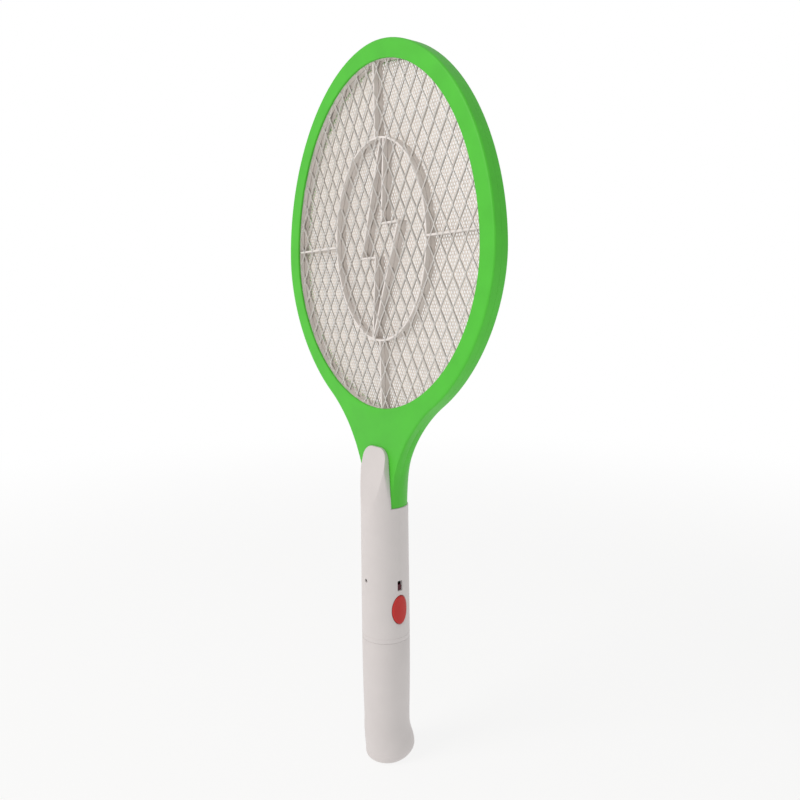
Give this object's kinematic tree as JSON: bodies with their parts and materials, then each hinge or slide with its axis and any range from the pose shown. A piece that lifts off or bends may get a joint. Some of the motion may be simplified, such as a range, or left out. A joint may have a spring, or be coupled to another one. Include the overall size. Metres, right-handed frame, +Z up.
{
  "type": "electric bug zapper",
  "caption": "Racket-shaped electric bug zapper with an oval framed mesh head, round handle, side push button, slide switch and pull-off grip over a charging plug.",
  "frame": {"origin": "centre of the flat bottom end of the grip", "axes": "+Z up the handle to the top of the head, -Y towards the front of the head, +X towards the side with the push button"},
  "size_m": [0.2114, 0.0358, 0.4712],
  "materials": {
    "green_plastic": "injection-moulded green ABS, semi-gloss",
    "white_plastic": "warm white ABS with a fine satin texture",
    "grey_plastic": "light grey moulded spacer plastic",
    "red_plastic": "red moulded button, semi-gloss",
    "dark_red_plastic": "dark red moulded slider",
    "black_plastic": "black moulded component bodies",
    "grid_wire": "bright expanded metal mesh",
    "steel": "zinc-plated steel",
    "brass": "plated brass plug blades",
    "board": "green solder-masked circuit board",
    "clear_lens": "clear lamp lens",
    "ferrite": "sintered ferrite core, dark grey",
    "winding_tape": "yellow insulating tape and lacquer",
    "capacitor_case": "dipped brown film capacitor",
    "battery_case": "dark grey battery case",
    "red_lead": "red PVC insulation",
    "black_lead": "black PVC insulation"
  },
  "bodies": {
    "racket": {"head_front_shell": "green_plastic", "front_grid": "grid_wire", "front_spacer": "grey_plastic", "middle_grid": "grid_wire", "back_spacer": "grey_plastic", "back_grid": "grid_wire", "head_back_shell": "green_plastic", "head_screw_1": "steel", "head_screw_2": "steel", "head_screw_3": "steel", "head_screw_4": "steel", "head_screw_5": "steel", "head_screw_6": "steel", "head_screw_7": "steel", "head_screw_8": "steel", "head_screw_9": "steel", "handle_front_shell": "white_plastic", "handle_back_shell": "white_plastic", "handle_screw_1": "steel", "handle_screw_2": "steel", "front_grid_lead": "red_lead", "middle_grid_lead": "black_lead", "back_grid_lead": "red_lead", "circuit_board": "board", "transformer_core": "ferrite", "transformer_winding": "winding_tape", "high_voltage_capacitor": "capacitor_case", "transistor": "black_plastic", "diode_1": "black_plastic", "diode_2": "black_plastic", "diode_3": "black_plastic", "diode_4": "black_plastic", "resistor_1": "winding_tape", "resistor_2": "winding_tape", "indicator_led": "clear_lens", "tact_switch_body": "black_plastic", "button_spring": "steel", "slide_switch_body": "steel", "plug_carrier": "white_plastic", "plug_pin_left": "brass", "plug_pin_right": "brass", "charger_board": "board", "battery": "battery_case", "battery_lead_positive": "red_lead", "battery_lead_negative": "black_lead"},
    "button": {"button_cap": "red_plastic", "tact_plunger": "red_plastic"},
    "power_switch": {"slide_switch_knob": "dark_red_plastic"},
    "grip": {"grip_cap": "white_plastic"}
  },
  "joints": [
    {"name": "button_press", "type": "slide", "parent": "racket", "child": "button", "axis": [-1, 0, 0], "range_m": [0, 0.0012], "stiffness_N_per_m": 400, "springref_m": -0.0006, "deforming": ["button_spring"]},
    {"name": "power_slide", "type": "slide", "parent": "racket", "child": "power_switch", "axis": [0, 0, 1], "range_m": [0, 0.0028]},
    {"name": "grip_pull", "type": "slide", "parent": "racket", "child": "grip", "axis": [0, 0, -1], "range_m": [0, 0.1]}
  ]
}
